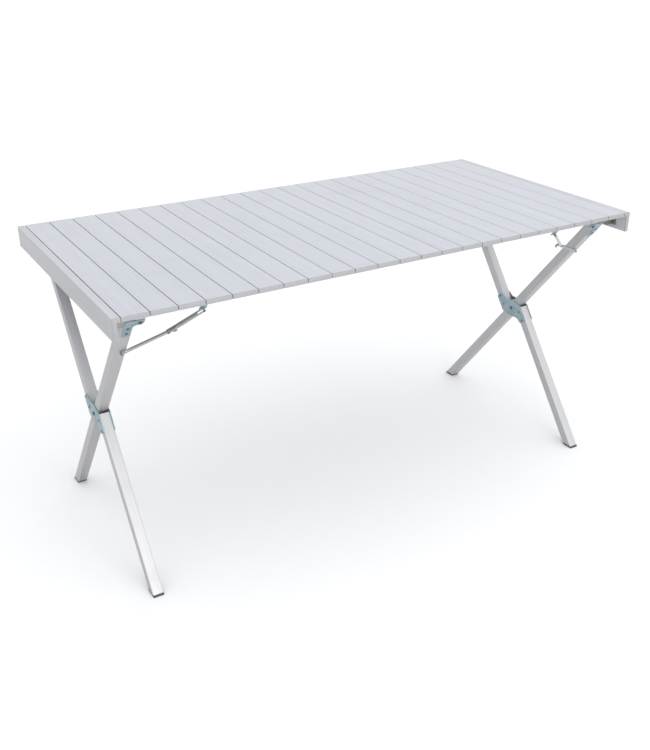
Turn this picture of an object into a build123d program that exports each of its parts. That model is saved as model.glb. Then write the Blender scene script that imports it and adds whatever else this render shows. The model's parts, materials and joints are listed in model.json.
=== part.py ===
"""Folding table with a slatted roll-up top on two scissor frames.

Millimetres, +Z up. The origin is on the floor under the middle of the top, +X runs along the
table's length and +Y towards its back. The front frame is the front rail with the two straight
legs, which slope down to the back. The back frame is the back rail with the two split legs,
which slope down to the front and carry the cross plates that the straight legs pass between.
"""

import os
from math import asin, atan2, cos, degrees, hypot, sin

from build123d import *

os.makedirs("parts", exist_ok=True)

# Overall sizes
table_length = 1397.0  # over the end rails
table_depth = 692.0  # over the ends of the slats
table_height = 711.0  # floor to the top surface

# Slatted top
slat_count = 23
slat_gap = 1.6
slat_thickness = 10.5
slat_wall = 1.3
slat_cells = 3
slat_edge_radius = 0.8
slat_plug_plate = 2.5
slat_plug_tongue = 12.0
plug_clearance = 0.1
end_rail_cap = 18.5  # from the outer face to the middle of the first gap
end_rail_cap_height = 10.0
end_rail_depth = 51.3
end_rail_blade = 10.0
end_rail_wall = 1.6
end_rail_edge_radius = 1.0
cord_diameter = 4.0
cord_hole = 5.0
cord_inset = 78.0  # from the slat's end to the cord
cord_knot_radius = 3.2

# Rails
rail_inset = 61.0  # from the slats' ends to the middle of each rail
rail_width = 25.0
rail_height = 20.0
rail_wall = 1.6
rail_end_gap = 27.5  # from the end rail's blade to the end of each rail
rail_plug_plate = 3.0
rail_plug_tongue = 20.0
top_clearance = 0.25  # between the rails and the slats

# Legs
leg_size = 25.0
leg_wall = 1.5
leg_top_gap = 1.0  # between a leg's top end and its rail
pivot_y = -7.0
pivot_z = 339.0
split_gap = 1.2  # between the straight leg's faces and the halves of a split leg, when folded flat
split_clearance = 0.97  # between the straight leg and the nearest corner of each half, at rest
side_clearance = 0.3  # between the straight leg and each cross plate
split_plug_gap = 1.3  # between the plug in a half leg's cut end and the first cross rivet
foot_sole = 5.0
foot_plug = 30.0
foot_proud = 0.3

# Sheet metal and fasteners
sheet = 2.0
cross_plate_half_length = 55.0
cross_plate_margin = 2.0
cross_plate_hole_radius = 2.2
cross_plate_shoulder = 0.66  # of the half length, where the edge starts to slope
cross_plate_step = 5.0
pivot_radius = 3.0
pivot_clearance = 0.06
pivot_head_radius = 5.5
pivot_head_height = 2.6
cross_rivet_radius = 2.2
cross_rivet_places = (22.0, 49.0)
rivet_radius = 2.0
rivet_head_radius = 3.6
rivet_head_height = 1.6
rivet_tail_height = 1.2
bracket_tongue_inset = 3.0  # from the leg's edges to the tongue's edges
bracket_tongue_length = 58.0
bracket_arm_height = 17.0
bracket_rivet_places = (27.0, 46.0)
hinge_reach = 11.0  # from the leg's inboard face to the hinge bolt
hinge_drop = 9.5  # from the rail's lower edge down to the hinge bolt
hinge_bolt_radius = 2.5
hinge_head_radius = 4.2
hinge_head_height = 3.0
anchor_flange = 13.0
anchor_tab = 18.0
anchor_width = 21.0
stay_anchor_width = 16.0
stay_anchor_tab = 13.0

# Folding stays: pins given inboard of the leg's middle and down from the rail's lower edge
stay_leg_pin_drop = 126.0
stay_knuckle = (94.5, 72.0)
stay_rail_pin = (160.5, 7.5)
upper_link_width = 8.0
upper_link_height = 7.0
lower_link_height = 5.8
link_wall = 1.0
link_slot = 15.0
link_clearance = 0.15
thumb_tab_length = 15.0
thumb_tab_drop = 7.0
stay_pin_radius = 1.5
stay_head_radius = 2.8
upper_slot_share = 1.3  # of the lower link's slot, at the knuckle

# Locating lugs on the end rails
lug_thickness = 2.5
lug_clearance = 0.6
lug_overlap = 8.5  # from the rail's end to the tip of the lug
lug_height = 27.0
lug_arm_lift = 8.0  # from the rail's underside to the arm, so that it clears the leg as the rail swings
lug_drop = 10.0
lug_foot = 15.0
lug_rivet_share = 0.6  # of the foot's width, from the arm to the rivets
lug_head_radius = 2.9
lug_corner_radius = 1.5

# Worked out from the sizes above
slat_pitch = (table_length - 2 * end_rail_cap) / slat_count
slat_width = slat_pitch - slat_gap
slat_body_length = table_depth - 2 * slat_plug_plate
cell_width = (slat_width - (slat_cells + 1) * slat_wall) / slat_cells
cell_height = slat_thickness - 2 * slat_wall
slat_middle_z = table_height - slat_thickness / 2
cord_y = table_depth / 2 - cord_inset
end_rail_cap_width = end_rail_cap - slat_gap / 2
blade_inner_x = table_length / 2 - end_rail_blade
knot_x = table_length / 2 - end_rail_blade / 2
rail_y = table_depth / 2 - rail_inset
rail_top = table_height - slat_thickness - top_clearance
rail_bottom = rail_top - rail_height
rail_middle_z = rail_top - rail_height / 2
rail_length = table_length - 2 * (end_rail_blade + rail_end_gap)
rail_body_length = rail_length - 2 * rail_plug_plate
leg_x = rail_length / 2 - leg_size / 2
split_offset = leg_size + split_gap  # from the split leg's middle line to each half's middle
bracket_tongue_width = leg_size - 2 * bracket_tongue_inset
hinge_inboard = leg_size / 2 + hinge_reach
lug_reach = rail_end_gap + lug_overlap
lug_middle_z = rail_bottom - lug_drop + lug_height / 2
lug_face_y = rail_y + rail_width / 2 + lug_clearance
lug_rivet_y = lug_face_y + lug_foot * lug_rivet_share
lug_rivet_heights = (lug_middle_z - lug_height / 4, lug_middle_z + lug_height / 4)
straight_width = leg_size - 2 * side_clearance
lower_link_width = upper_link_width - 2 * link_wall - 2 * link_clearance
FRONT = -1
BACK = 1
SIDES = {"left": -1, "right": 1}


def lean_angle(side, face_offset):
    """Angle from upright of a leg whose outer face lies one sheet outside its rail's lower edge."""
    across = rail_y + rail_width / 2 - side * pivot_y
    rise = rail_bottom - pivot_z
    return atan2(across, rise) - asin((face_offset - sheet) / hypot(across, rise))


lean = {FRONT: lean_angle(FRONT, leg_size / 2), BACK: lean_angle(BACK, split_offset + leg_size / 2)}
crossing = sum(lean.values())
split_end = max(  # from the pivot to the end of each half, along the leg
    (leg_size / 2 + split_clearance - across * cos(crossing)) / sin(crossing)
    for across in (split_offset - leg_size / 2, split_offset + leg_size / 2)
)
split_plug_length = cross_rivet_places[0] - cross_rivet_radius - split_plug_gap - split_end


def up_leg(side):
    """Unit vector up the leg of one frame."""
    return Vector(0, side * sin(lean[side]), cos(lean[side]))


def out_of_face(side):
    """Unit vector out of the outer face of one frame's legs."""
    return Vector(0, side * cos(lean[side]), -sin(lean[side]))


def rail_edge(side):
    """Point on the lower outer edge of one rail, at the middle of the table."""
    return Vector(0, side * (rail_y + rail_width / 2), rail_bottom)


def face_plane(side):
    """Outer face of one frame's legs: +Y is up the leg, and the origin is level with the edge."""
    origin = rail_edge(side) + out_of_face(side) * sheet
    return Plane(origin=origin, x_dir=(-side, 0, 0), z_dir=out_of_face(side))


def leg_section(side, x):
    """Plane across a leg at the height of the pivot, with its normal up the leg."""
    return Plane(origin=(x, pivot_y, pivot_z), x_dir=(1, 0, 0), z_dir=up_leg(side))


def cross_plane(x):
    """Plane of a cross plate: +X is up the split leg and +Y is towards the front and up."""
    return Plane(origin=(x, pivot_y, pivot_z), x_dir=up_leg(BACK), z_dir=(1, 0, 0))


def save(name, pieces):
    """Write one node, as a single solid or as a group of separate solids."""
    node = pieces[0] if len(pieces) == 1 else Compound(children=pieces)
    node.label = name
    export_step(node, f"parts/{name}.step")


def build_rivet(plane, grip, radius, head_radius, head_height, tail_height):
    """Rivet or bolt: the head stands on the plane, and the shank goes back through the grip."""
    with BuildPart() as rivet:
        with BuildSketch(plane.offset(-grip)):
            Circle(radius)
        extrude(amount=grip)
        with BuildSketch(plane):
            Circle(head_radius)
        extrude(amount=head_height)
        crown = rivet.edges().filter_by(GeomType.CIRCLE).sort_by(Axis(plane.origin, plane.z_dir))[-1]
        fillet(crown, head_height * 0.7)
        with BuildSketch(plane.offset(-grip)):
            Circle(head_radius * 0.8)
        extrude(amount=-tail_height)
    return rivet.part


# Slats: a hollow extrusion closed by a plug at each end, with holes for the two cords
slat_plane = Plane(origin=(0, 0, slat_middle_z), x_dir=(1, 0, 0), z_dir=(0, -1, 0))

with BuildPart() as slat_extrusion:
    with BuildSketch(slat_plane):
        RectangleRounded(slat_width, slat_thickness, slat_edge_radius)
        with GridLocations(cell_width + slat_wall, 0, slat_cells, 1):
            Rectangle(cell_width, cell_height, mode=Mode.SUBTRACT)
    extrude(amount=slat_body_length / 2, both=True)
    for cord_side in (-cord_y, cord_y):
        with BuildSketch(Plane.YZ):
            with Locations((cord_side, slat_middle_z)):
                Circle(cord_hole / 2)
        extrude(amount=slat_width, both=True, mode=Mode.SUBTRACT)

with BuildPart() as slat_plug:
    with BuildSketch(slat_plane.offset(slat_body_length / 2)):
        RectangleRounded(slat_width, slat_thickness, slat_edge_radius)
    extrude(amount=slat_plug_plate)
    with BuildSketch(slat_plane.offset(slat_body_length / 2)):
        with GridLocations(cell_width + slat_wall, 0, slat_cells, 1):
            Rectangle(cell_width - 2 * plug_clearance, cell_height - 2 * plug_clearance)
    extrude(amount=-slat_plug_tongue)

for number in range(1, slat_count + 1):
    place = Pos((number - (slat_count + 1) / 2) * slat_pitch, 0, 0)
    back_plug = mirror(slat_plug.part, about=Plane.XZ)
    save(f"slat_{number:02d}", [place * slat_extrusion.part, place * slat_plug.part, place * back_plug])

# End rails: a hollow inverted L, closed by a cap at each end
end_plane = Plane(origin=(0, 0, 0), x_dir=(1, 0, 0), z_dir=(0, -1, 0))


def end_rail_outline(inset):
    """Corners of the inverted L, moved inwards by the inset."""
    outer = table_length / 2 - inset
    return [
        (outer, table_height - inset),
        (outer, table_height - end_rail_depth + inset),
        (blade_inner_x + inset, table_height - end_rail_depth + inset),
        (blade_inner_x + inset, table_height - end_rail_cap_height + inset),
        (table_length / 2 - end_rail_cap_width + inset, table_height - end_rail_cap_height + inset),
        (table_length / 2 - end_rail_cap_width + inset, table_height - inset),
    ]


with BuildPart() as end_rail:
    with BuildSketch(end_plane):
        with BuildLine():
            FilletPolyline(*end_rail_outline(0), radius=end_rail_edge_radius, close=True)
        make_face()
        with BuildLine():
            Polyline(*end_rail_outline(end_rail_wall), close=True)
        make_face(mode=Mode.SUBTRACT)
    extrude(amount=slat_body_length / 2, both=True)
    for cord_side in (-cord_y, cord_y):
        with BuildSketch(Plane.YZ.offset(blade_inner_x - end_rail_cap)):
            with Locations((cord_side, slat_middle_z)):
                Circle(cord_hole / 2)
        extrude(amount=end_rail_cap, mode=Mode.SUBTRACT)
    with BuildSketch(Plane.YZ.offset(blade_inner_x)):
        with Locations(*((way * lug_rivet_y, z) for way in (-1, 1) for z in lug_rivet_heights)):
            Circle(rivet_radius)
    extrude(amount=end_rail_wall, mode=Mode.SUBTRACT)

with BuildPart() as end_rail_front_cap:
    with BuildSketch(end_plane.offset(slat_body_length / 2)):
        with BuildLine():
            FilletPolyline(*end_rail_outline(0), radius=end_rail_edge_radius, close=True)
        make_face()
    extrude(amount=slat_plug_plate)
    with BuildSketch(end_plane.offset(slat_body_length / 2)):
        with BuildLine():
            Polyline(*end_rail_outline(end_rail_wall + plug_clearance), close=True)
        make_face()
    extrude(amount=-slat_plug_tongue)

# Locating lugs: an angle on the blade's inner face, whose arm lies along the rail's outer face
with BuildPart() as back_lug:
    with BuildSketch(Plane.XZ.offset(-lug_face_y)):
        with BuildLine():
            FilletPolyline(
                (blade_inner_x, lug_middle_z - lug_height / 2),
                (blade_inner_x, lug_middle_z + lug_height / 2),
                (blade_inner_x - lug_reach, lug_middle_z + lug_height / 2),
                (blade_inner_x - lug_reach, rail_bottom + lug_arm_lift),
                (rail_length / 2 + 2 * lug_clearance, rail_bottom + lug_arm_lift),
                (rail_length / 2 + 2 * lug_clearance, lug_middle_z - lug_height / 2),
                radius=lug_corner_radius,
                close=True,
            )
        make_face()
    extrude(amount=-lug_thickness)
    with BuildSketch(Plane.YZ.offset(blade_inner_x)):
        with Locations((lug_face_y + lug_foot / 2, lug_middle_z)):
            Rectangle(lug_foot, lug_height)
        with Locations(*((lug_rivet_y, z) for z in lug_rivet_heights)):
            Circle(rivet_radius, mode=Mode.SUBTRACT)
    extrude(amount=-lug_thickness)

lug_pieces = [back_lug.part]
lug_grip = lug_thickness + end_rail_wall
for z in lug_rivet_heights:
    lug_rivet_plane = Plane(origin=(blade_inner_x - lug_thickness, lug_rivet_y, z), z_dir=(-1, 0, 0))
    lug_rivet = build_rivet(
        lug_rivet_plane, lug_grip, rivet_radius, lug_head_radius, rivet_head_height, rivet_tail_height
    )
    lug_pieces.append(lug_rivet)
lug_pieces += [mirror(piece, about=Plane.XZ) for piece in lug_pieces]

end_rail_pieces = [end_rail.part, end_rail_front_cap.part, mirror(end_rail_front_cap.part, about=Plane.XZ)]
save("right_end_rail", end_rail_pieces)
save("left_end_rail", [mirror(piece, about=Plane.YZ) for piece in end_rail_pieces])
save("right_rail_lugs", lug_pieces)
save("left_rail_lugs", [mirror(piece, about=Plane.YZ) for piece in lug_pieces])

# Elastic cords: each runs through all the slats and ends in a knot inside each end rail
cords = []
for cord_side in (-cord_y, cord_y):
    with BuildPart() as elastic_cord:
        with BuildSketch(Plane.YZ):
            with Locations((cord_side, slat_middle_z)):
                Circle(cord_diameter / 2)
        extrude(amount=knot_x, both=True)
        for knot_side in (-knot_x, knot_x):
            with BuildSketch(Plane.YZ.offset(knot_side)):
                with Locations((cord_side, slat_middle_z)):
                    Circle(cord_knot_radius)
            extrude(amount=cord_knot_radius * 0.8, both=True)
    cords.append(elastic_cord.part)
save("elastic_cords", cords)


def build_rail(side):
    """One rail: a rectangular tube with rivet holes for its four anchors."""
    with BuildPart() as rail:
        with BuildSketch(Plane.YZ):
            with Locations((side * rail_y, rail_middle_z)):
                Rectangle(rail_width, rail_height)
                Rectangle(rail_width - 2 * rail_wall, rail_height - 2 * rail_wall, mode=Mode.SUBTRACT)
        extrude(amount=rail_body_length / 2, both=True)
        outer_face = Plane(origin=rail_edge(side), x_dir=(-side, 0, 0), z_dir=(0, side, 0))
        with BuildSketch(outer_face):
            for anchor_x in anchor_places():
                with Locations((anchor_x, anchor_flange / 2)):
                    Circle(rivet_radius)
        extrude(amount=-rail_wall, mode=Mode.SUBTRACT)
    return rail.part


def build_rail_plug(side, end):
    """Plug in one end of a rail, with a plate that covers the tube's end."""
    with BuildPart() as plug:
        with BuildSketch(Plane.YZ.offset(end * rail_body_length / 2)):
            with Locations((side * rail_y, rail_middle_z)):
                Rectangle(rail_width, rail_height)
        extrude(amount=end * rail_plug_plate)
        with BuildSketch(Plane.YZ.offset(end * rail_body_length / 2)):
            with Locations((side * rail_y, rail_middle_z)):
                inner_gap = 2 * (rail_wall + plug_clearance)
                Rectangle(rail_width - inner_gap, rail_height - inner_gap)
        extrude(amount=-end * rail_plug_tongue)
    return plug.part


def anchor_places():
    """X of the middle of each anchor on a rail: two for the hinges and two for the stays."""
    hinge_x = leg_x - hinge_inboard
    stay_x = leg_x - stay_rail_pin[0]
    return [-hinge_x, -stay_x, stay_x, hinge_x]


def build_anchor(side, x, width, tab, hole_drop, hole_radius):
    """Bent strip: a flange on the rail's outer face and a tab in the plane of the frame."""
    edge = rail_edge(side)
    out = Vector(0, side, 0)
    down = up_leg(side) * -1
    mitre = edge + (out + out_of_face(side)) * (sheet / (1 + cos(lean[side])))
    corners = [
        edge,
        edge + Vector(0, 0, anchor_flange),
        edge + Vector(0, 0, anchor_flange) + out * sheet,
        mitre,
        edge + out_of_face(side) * sheet + down * tab,
        edge + down * tab,
    ]
    with BuildPart() as anchor:
        with BuildSketch(Plane.YZ.offset(x)):
            with BuildLine():
                Polyline(*[(corner.Y, corner.Z) for corner in corners], close=True)
            make_face()
        extrude(amount=width / 2, both=True)
        with BuildSketch(face_plane(side)):
            with Locations((-side * x, -hole_drop)):
                Circle(hole_radius)
        extrude(amount=-sheet, mode=Mode.SUBTRACT)
        outer_face = Plane(origin=edge, x_dir=(-side, 0, 0), z_dir=(0, side, 0))
        with BuildSketch(outer_face):
            with Locations((-side * x, anchor_flange / 2)):
                Circle(rivet_radius)
        extrude(amount=sheet, mode=Mode.SUBTRACT)
    return anchor.part


def build_corner_bracket(side, end):
    """Flat angle on the leg's outer face: a tongue down the leg and an arm to the hinge bolt."""
    middle = -side * end * leg_x
    inboard = side * end
    hinge_u = middle + inboard * hinge_inboard
    arm_top = bracket_arm_height / 2 - hinge_drop
    tongue_in = middle + inboard * bracket_tongue_width / 2
    tongue_out = middle - inboard * bracket_tongue_width / 2
    arm_end = hinge_u + inboard * bracket_arm_height / 2
    with BuildPart() as bracket:
        with BuildSketch(face_plane(side)):
            with BuildLine():
                FilletPolyline(
                    (arm_end, arm_top),
                    (arm_end, arm_top - bracket_arm_height),
                    (tongue_in, arm_top - bracket_arm_height),
                    (tongue_in, -bracket_tongue_length),
                    (tongue_out, -bracket_tongue_length),
                    (tongue_out, arm_top),
                    radius=[7.0, 7.0, 9.0, 3.0, 3.0, 3.0],
                    close=True,
                )
            make_face()
            with Locations(*[(middle, -drop) for drop in bracket_rivet_places]):
                Circle(rivet_radius, mode=Mode.SUBTRACT)
            with Locations((hinge_u, -hinge_drop)):
                Circle(hinge_bolt_radius, mode=Mode.SUBTRACT)
        extrude(amount=sheet)
    return bracket.part


def face_holes(side, end):
    """Places and radii of the holes in a leg's outer face: the bracket's two and the stay's one."""
    middle = -side * end * leg_x
    holes = [((middle, -drop), rivet_radius) for drop in bracket_rivet_places]
    return [*holes, ((middle, -stay_leg_pin_drop), stay_pin_radius)]


def build_straight_leg(end):
    """Continuous leg of the front frame, drilled for the pivot bolt."""
    with BuildPart() as leg:
        with BuildSketch(leg_section(FRONT, end * leg_x)):
            Rectangle(straight_width, leg_size)
            Rectangle(straight_width - 2 * leg_wall, leg_size - 2 * leg_wall, mode=Mode.SUBTRACT)
        extrude(amount=table_height, both=True)
        split(bisect_by=Plane.XY.offset(rail_bottom - leg_top_gap), keep=Keep.BOTTOM)
        split(bisect_by=Plane.XY.offset(foot_sole), keep=Keep.TOP)
        with BuildSketch(cross_plane(end * leg_x)):
            Circle(pivot_radius + pivot_clearance)
        extrude(amount=leg_size, both=True, mode=Mode.SUBTRACT)
        with BuildSketch(face_plane(FRONT)):
            for place, radius in face_holes(FRONT, end):
                with Locations(place):
                    Circle(radius)
        extrude(amount=-leg_wall, mode=Mode.SUBTRACT)
    return leg.part


def build_split_half(end, upper):
    """One half of a split leg, cut square beside the pivot and drilled for the cross rivets."""
    way = 1 if upper else -1
    with BuildPart() as half:
        with BuildSketch(leg_section(BACK, end * leg_x).offset(way * split_end)):
            with Locations((0, way * split_offset)):
                Rectangle(leg_size, leg_size)
                Rectangle(leg_size - 2 * leg_wall, leg_size - 2 * leg_wall, mode=Mode.SUBTRACT)
        extrude(amount=way * table_height)
        if upper:
            split(bisect_by=Plane.XY.offset(rail_bottom - leg_top_gap), keep=Keep.BOTTOM)
        else:
            split(bisect_by=Plane.XY.offset(foot_sole), keep=Keep.TOP)
        with BuildSketch(cross_plane(end * leg_x)):
            with Locations(*[(way * along, -way * split_offset) for along in cross_rivet_places]):
                Circle(cross_rivet_radius)
        extrude(amount=leg_size, both=True, mode=Mode.SUBTRACT)
        if upper:
            with BuildSketch(face_plane(BACK)):
                for place, radius in face_holes(BACK, end):
                    with Locations(place):
                        Circle(radius)
            extrude(amount=-leg_wall, mode=Mode.SUBTRACT)
    return half.part


def build_split_plug(end, upper):
    """Plug in the cut end of one half leg, flush with it."""
    way = 1 if upper else -1
    size = leg_size - 2 * (leg_wall + plug_clearance)
    with BuildPart() as plug:
        with BuildSketch(leg_section(BACK, end * leg_x).offset(way * split_end)):
            with Locations((0, way * split_offset)):
                Rectangle(size, size)
        extrude(amount=way * split_plug_length)
    return plug.part


def build_foot(side, end, across):
    """Foot cap: a level sole and a plug that goes up into the leg."""
    width = straight_width if side == FRONT else leg_size
    section = leg_section(side, end * leg_x)
    foot_way = (pivot_z - across * sin(lean[side])) / cos(lean[side])
    with BuildPart() as foot:
        with BuildSketch(section.offset(-foot_way)):
            with Locations((0, across)):
                Rectangle(width + 2 * foot_proud, leg_size + 2 * foot_proud)
        extrude(amount=2 * leg_size, both=True)
        split(bisect_by=Plane.XY.offset(foot_sole), keep=Keep.BOTTOM)
        with BuildSketch(section.offset(-foot_way - leg_size)):
            with Locations((0, across)):
                inner_gap = 2 * (leg_wall + plug_clearance)
                Rectangle(width - inner_gap, leg_size - inner_gap)
        extrude(amount=leg_size + foot_plug)
        split(bisect_by=Plane.XY, keep=Keep.TOP)
    return foot.part


def build_cross_plate(end, face):
    """One cross plate: it spans both halves of a split leg on the inner or outer face."""
    edge = split_offset + leg_size / 2 + cross_plate_margin
    inner = split_offset - leg_size / 2
    half_outline = [
        (cross_plate_half_length, -edge),
        (cross_plate_half_length, -inner),
        (cross_plate_half_length * cross_plate_shoulder, -inner + cross_plate_step),
        (inner + 2, edge / 2),
        (-inner / 2, edge),
    ]
    radii = [4.0, 6.0, 20.0, 40.0, 12.0]
    outline = half_outline + [(-x, -y) for x, y in half_outline]
    plane = cross_plane(end * leg_x + face * leg_size / 2)
    rivets = [(along, -split_offset) for along in cross_rivet_places]
    rivets += [(-along, split_offset) for along in cross_rivet_places]
    with BuildPart() as plate:
        with BuildSketch(plane):
            with BuildLine():
                FilletPolyline(*outline, radius=radii * 2, close=True)
            make_face()
            Circle(pivot_radius, mode=Mode.SUBTRACT)
            with Locations(*rivets):
                Circle(cross_rivet_radius, mode=Mode.SUBTRACT)
            with Locations((split_end * 2, -split_end), (-split_end * 2, split_end)):
                SlotOverall(4 * cross_plate_hole_radius, 2 * cross_plate_hole_radius, mode=Mode.SUBTRACT)
        extrude(amount=face * sheet)
    return plate.part


def build_link(plane, length, width, height, web_side, slots, tab):
    """Channel link with its first pin at the plane's origin and its second along +X.

    The web is on the web side and is cut away at each slotted end. With a tab, the second end
    runs on past its pin to a bent thumb tab.
    """
    reach = length + tab
    inside = width - 2 * link_wall
    with BuildPart() as link:
        with BuildSketch(plane):
            with Locations((reach / 2, 0)):
                SlotCenterToCenter(reach, height)
            with Locations((0, 0), (length, 0)):
                Circle(stay_pin_radius, mode=Mode.SUBTRACT)
        extrude(amount=width)
        with BuildSketch(plane.offset(link_wall)):
            with Locations((reach / 2, -web_side * (link_wall + 1) / 2)):
                Rectangle(reach + 2 * height, height + 1 - link_wall)
            if slots[0]:
                with Locations((slots[0] / 2 - height / 2, web_side * height / 2)):
                    Rectangle(slots[0] + height, height)
            if slots[1]:
                with Locations((length - slots[1] / 2 + height / 2, web_side * height / 2)):
                    Rectangle(slots[1] + height, height)
        extrude(amount=inside, mode=Mode.SUBTRACT)
        if tab:
            with BuildSketch(plane):
                with Locations((reach + height / 2 - sheet / 2, -web_side * thumb_tab_drop / 2)):
                    Rectangle(sheet, height + thumb_tab_drop)
            extrude(amount=width)
    return link.part


def stay_points(end):
    """The stay's three pins in the face plane, from the leg to the rail, for local end -1 or 1."""
    knuckle = (end * (leg_x - stay_knuckle[0]), -stay_knuckle[1])
    rail_pin = (end * (leg_x - stay_rail_pin[0]), -stay_rail_pin[1])
    return (end * leg_x, -stay_leg_pin_drop), knuckle, rail_pin


def link_plane(side, start, finish, lift):
    """Plane of a link: +X runs from its first pin to its second, lifted off the leg's face."""
    face = face_plane(side).offset(lift)
    first = face.from_local_coords(Vector(*start, 0))
    second = face.from_local_coords(Vector(*finish, 0))
    return Plane(origin=first, x_dir=second - first, z_dir=face.z_dir)


def build_stay(side, end):
    """The two links of one folding stay."""
    local_end = -side * end
    leg_pin, knuckle, rail_pin = stay_points(local_end)
    lower_lift = link_wall + link_clearance
    lower = build_link(
        link_plane(side, leg_pin, knuckle, lower_lift),
        hypot(knuckle[0] - leg_pin[0], knuckle[1] - leg_pin[1]),
        lower_link_width,
        lower_link_height,
        -local_end,
        (link_slot, 0),
        thumb_tab_length,
    )
    upper = build_link(
        link_plane(side, knuckle, rail_pin, 0),
        hypot(rail_pin[0] - knuckle[0], rail_pin[1] - knuckle[1]),
        upper_link_width,
        upper_link_height,
        -local_end,
        (link_slot * upper_slot_share, link_slot),
        0,
    )
    return lower, upper


def build_fasteners(side):
    """Rivets, hinge bolts and stay pins of one frame, left and right."""
    pieces = []
    outer_face = Plane(origin=rail_edge(side), x_dir=(-side, 0, 0), z_dir=(0, side, 0)).offset(sheet)
    face = face_plane(side)
    for x in anchor_places():
        origin = outer_face.from_local_coords(Vector(-side * x, anchor_flange / 2, 0))
        plane = Plane(origin=origin, z_dir=outer_face.z_dir)
        grip = sheet + rail_wall
        pieces.append(
            build_rivet(plane, grip, rivet_radius, rivet_head_radius, rivet_head_height, rivet_tail_height)
        )
    for end in SIDES.values():
        local_end = -side * end
        leg_pin, knuckle, rail_pin = stay_points(local_end)
        hinge = (local_end * (leg_x - hinge_inboard), -hinge_drop)
        lower_top = link_wall + link_clearance + lower_link_width
        rivet = (rivet_radius, rivet_head_radius, rivet_head_height)
        stay_pin = (stay_pin_radius, stay_head_radius, rivet_head_height)
        hinge_bolt = (hinge_bolt_radius, hinge_head_radius, hinge_head_height)
        bracket_grip = sheet + leg_wall
        spots = [((local_end * leg_x, -drop), sheet, bracket_grip, rivet) for drop in bracket_rivet_places]
        spots.append((hinge, sheet, 2 * sheet, hinge_bolt))
        spots.append((leg_pin, lower_top, lower_top + leg_wall, stay_pin))
        spots.append((knuckle, upper_link_width, upper_link_width, stay_pin))
        spots.append((rail_pin, upper_link_width, upper_link_width + sheet, stay_pin))
        for spot, lift, grip, head in spots:
            origin = face.from_local_coords(Vector(*spot, lift))
            plane = Plane(origin=origin, x_dir=face.x_dir, z_dir=face.z_dir)
            pieces.append(build_rivet(plane, grip, *head, rivet_tail_height))
    return pieces


def build_cross_rivets():
    """Rivets that hold each cross plate pair to both halves of its split leg."""
    pieces = []
    for end in SIDES.values():
        for way in (-1, 1):
            for along in cross_rivet_places:
                middle = cross_plane(end * leg_x)
                spot = middle.from_local_coords(Vector(way * along, -way * split_offset, 0))
                face_x = spot.X + leg_size / 2 + sheet
                plane = Plane(origin=(face_x, spot.Y, spot.Z), z_dir=(1, 0, 0))
                grip = leg_size + 2 * sheet
                rivet = build_rivet(
                    plane, grip, cross_rivet_radius, rivet_head_radius, rivet_head_height, rivet_head_height
                )
                pieces.append(rivet)
    return pieces


def build_pivot_bolt(end):
    """Pivot bolt: fixed in both cross plates, with running clearance in the straight leg."""
    plane = Plane(origin=(end * leg_x + leg_size / 2 + sheet, pivot_y, pivot_z), z_dir=(1, 0, 0))
    grip = leg_size + 2 * sheet
    return build_rivet(plane, grip, pivot_radius, pivot_head_radius, pivot_head_height, pivot_head_height)


# Front frame
save("front_rail", [build_rail(FRONT)])
save("front_rail_plugs", [build_rail_plug(FRONT, end) for end in SIDES.values()])
for name, end in SIDES.items():
    save(f"straight_leg_{name}", [build_straight_leg(end)])
save("back_feet", [build_foot(FRONT, end, 0) for end in SIDES.values()])

# Back frame
save("back_rail", [build_rail(BACK)])
save("back_rail_plugs", [build_rail_plug(BACK, end) for end in SIDES.values()])
for name, end in SIDES.items():
    save(f"split_leg_upper_{name}", [build_split_half(end, True)])
    save(f"split_leg_lower_{name}", [build_split_half(end, False)])
    save(f"cross_plates_{name}", [build_cross_plate(end, face) for face in (-1, 1)])
save("split_leg_plugs", [build_split_plug(end, upper) for end in SIDES.values() for upper in (True, False)])
save("front_feet", [build_foot(BACK, end, -split_offset) for end in SIDES.values()])
save("pivot_bolts", [build_pivot_bolt(end) for end in SIDES.values()])

# Hinges and stays of both frames
for frame_name, side in (("front", FRONT), ("back", BACK)):
    anchors = []
    for x in anchor_places():
        if abs(x) > leg_x - stay_knuckle[0]:
            anchors.append(build_anchor(side, x, anchor_width, anchor_tab, hinge_drop, hinge_bolt_radius))
        else:
            anchors.append(
                build_anchor(side, x, stay_anchor_width, stay_anchor_tab, stay_rail_pin[1], stay_pin_radius)
            )
    save(f"{frame_name}_rail_anchors", anchors)
    for name, end in SIDES.items():
        save(f"corner_bracket_{frame_name}_{name}", [build_corner_bracket(side, end)])
        lower_link, upper_link = build_stay(side, end)
        save(f"stay_lower_{frame_name}_{name}", [lower_link])
        save(f"stay_upper_{frame_name}_{name}", [upper_link])
    fasteners = build_fasteners(side)
    if side == BACK:
        fasteners += build_cross_rivets()
    save(f"{frame_name}_frame_fasteners", fasteners)

print("leg angles from upright:", {side: round(degrees(angle), 2) for side, angle in lean.items()})
print("slat pitch:", round(slat_pitch, 3), "rail underside:", rail_bottom)
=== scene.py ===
"""Studio scene of the folding slatted table: finer pieces, finishes, lights and camera on the CAD frame."""

import json
import logging
from dataclasses import dataclass
from enum import Enum
from math import asin, atan2, cos, hypot, pi, radians, sin, tan
from typing import Any, Callable, Iterable, Sequence

import bmesh
import bpy
from mathutils import Matrix, Vector

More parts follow.
